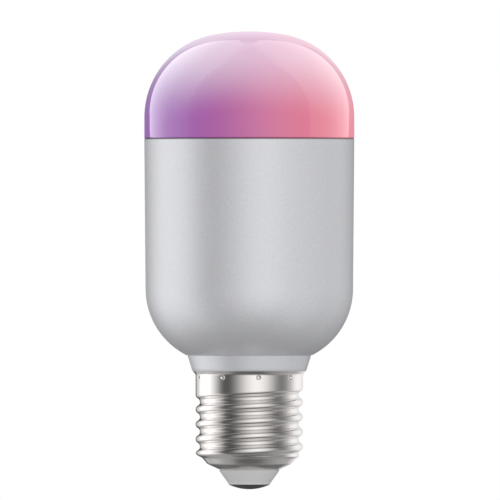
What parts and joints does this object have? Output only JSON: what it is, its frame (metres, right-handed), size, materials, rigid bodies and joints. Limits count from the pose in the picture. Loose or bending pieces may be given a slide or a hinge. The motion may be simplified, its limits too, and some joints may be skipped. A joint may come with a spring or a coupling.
{
  "type": "smart light bulb",
  "caption": "Smart light bulb: round-topped opal diffuser on a smooth satin body with a rounded shoulder, conical neck and E27 screw cap, with LED board and mains driver inside",
  "frame": {"origin": "tip of the centre contact of the screw cap, on the axis of the bulb", "axes": "+Z from the cap to the top of the dome; -Y is the front, the side shown to the viewer and the side that the components' face of the driver board looks to; +X to the viewer's right"},
  "size_m": [0.0514, 0.0514, 0.112],
  "materials": {
    "contact_metal": "satin",
    "insulator": "satin",
    "nickel": "polished",
    "silver_paint": "satin",
    "collar_paint": "satin",
    "opal": "gloss",
    "sealant": "matte",
    "aluminium": "matte",
    "thermal_silicone": "matte",
    "white_board": "matte",
    "zinc": "satin",
    "led_body": "matte",
    "phosphor": "matte",
    "lens": "gloss",
    "sleeve_plastic": "matte",
    "green_board": "satin",
    "blue_board": "satin",
    "tin": "satin",
    "gold": "polished",
    "black_plastic": "satin",
    "solder": "polished",
    "ferrite": "matte",
    "bobbin_plastic": "matte",
    "winding_tape": "satin",
    "can_sleeve": "satin",
    "film_yellow": "satin",
    "shrink_tube": "satin",
    "fuse_lacquer": "satin",
    "chip_ceramic": "satin",
    "red_wire": "satin",
    "blue_wire": "satin"
  },
  "bodies": {
    "root": {"centre_contact": "contact_metal", "cap_insulator": "insulator", "screw_shell": "nickel", "neck_collar": "collar_paint", "neck_screws": "zinc", "body_shell": "silver_paint", "diffuser_dome": "opal", "dome_sealant": "sealant", "heat_plate": "aluminium", "thermal_pad": "thermal_silicone", "led_board": "white_board", "board_screws": "zinc", "white_leds": "led_body", "white_led_phosphor": "phosphor", "colour_leds": "led_body", "colour_led_lenses": "lens", "driver_sleeve": "sleeve_plastic", "driver_board": "green_board", "radio_module": "blue_board", "radio_shield": "tin", "radio_antenna": "gold", "header_block": "black_plastic", "header_pins": "gold", "pin_solder": "solder", "transformer_core": "ferrite", "transformer_bobbin": "bobbin_plastic", "transformer_winding": "winding_tape", "bulk_capacitor": "can_sleeve", "output_capacitor": "can_sleeve", "capacitor_leads": "tin", "film_capacitor": "film_yellow", "filter_inductor": "shrink_tube", "fuse_resistor": "fuse_lacquer", "bridge_rectifier": "black_plastic", "driver_chip": "black_plastic", "chip_resistors": "chip_ceramic", "live_wire": "red_wire", "neutral_wire": "blue_wire"}
  },
  "joints": []
}
